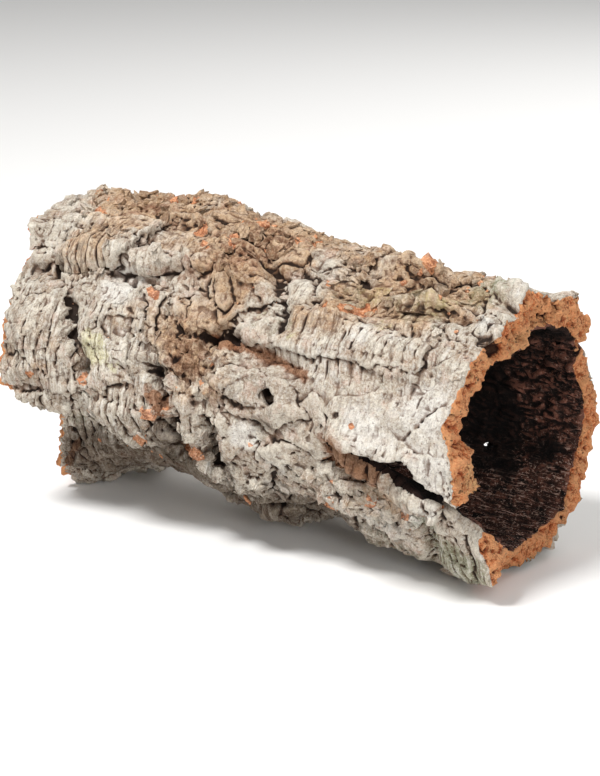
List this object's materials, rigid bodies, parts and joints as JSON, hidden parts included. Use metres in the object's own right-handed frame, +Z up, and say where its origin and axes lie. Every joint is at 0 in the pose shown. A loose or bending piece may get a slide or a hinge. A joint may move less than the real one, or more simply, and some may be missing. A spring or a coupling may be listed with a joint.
{
  "type": "cork bark tube",
  "caption": "Hollow rolled tube of rough virgin cork bark with a broken open mouth at each end, lying on its side as a hide, planter or display log.",
  "frame": {"origin": "centre of the tube's box on the surface that it lies on", "axes": "+X along the tube towards the cut mouth, -Y the front with the overlapping free edge, +Z up"},
  "size_m": [0.3202, 0.1784, 0.1777],
  "materials": {
    "cork_bark": "rough, dry, unfinished outer bark, light grey beige, with orange broken cork and a dark brown inside"
  },
  "bodies": {
    "root": {"cork_tube": "cork_bark"}
  },
  "joints": []
}
